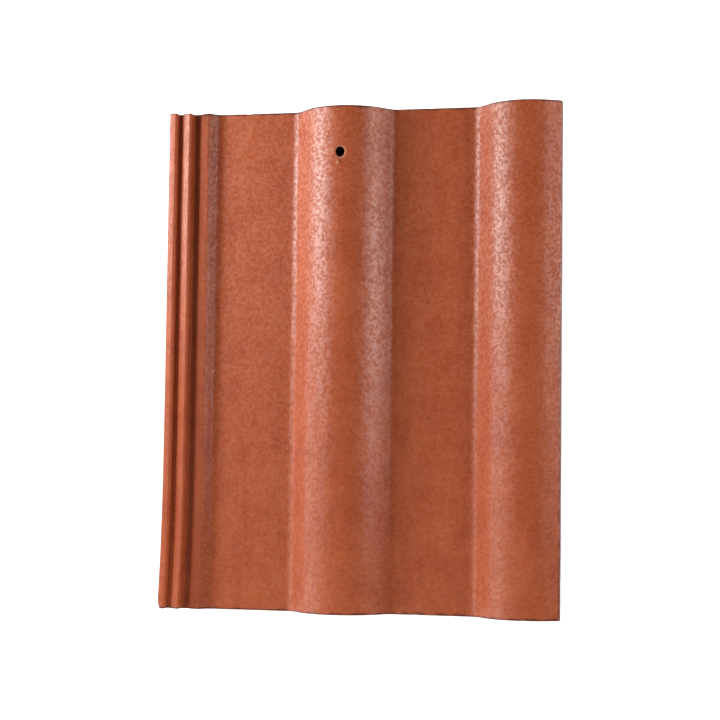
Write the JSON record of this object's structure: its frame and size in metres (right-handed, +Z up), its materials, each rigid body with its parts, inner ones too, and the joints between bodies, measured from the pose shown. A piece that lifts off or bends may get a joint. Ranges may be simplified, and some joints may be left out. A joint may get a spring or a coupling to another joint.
{
  "type": "interlocking roof tile",
  "caption": "Two-roll interlocking terracotta roof tile with flat pans, ribbed underlock, overlock roll, nail hole, hanging nibs and weather bars.",
  "frame": {"origin": "middle of the footprint, level with the foot of the hanging nibs", "axes": "+X across the tile from the underlock to the overlock, +Y from the tail to the head, +Z up through the rolls"},
  "size_m": [0.335, 0.42, 0.051],
  "materials": {
    "terracotta": "matte fired clay with a sandy coat"
  },
  "bodies": {
    "root": {"roof_tile": "terracotta"}
  },
  "joints": []
}
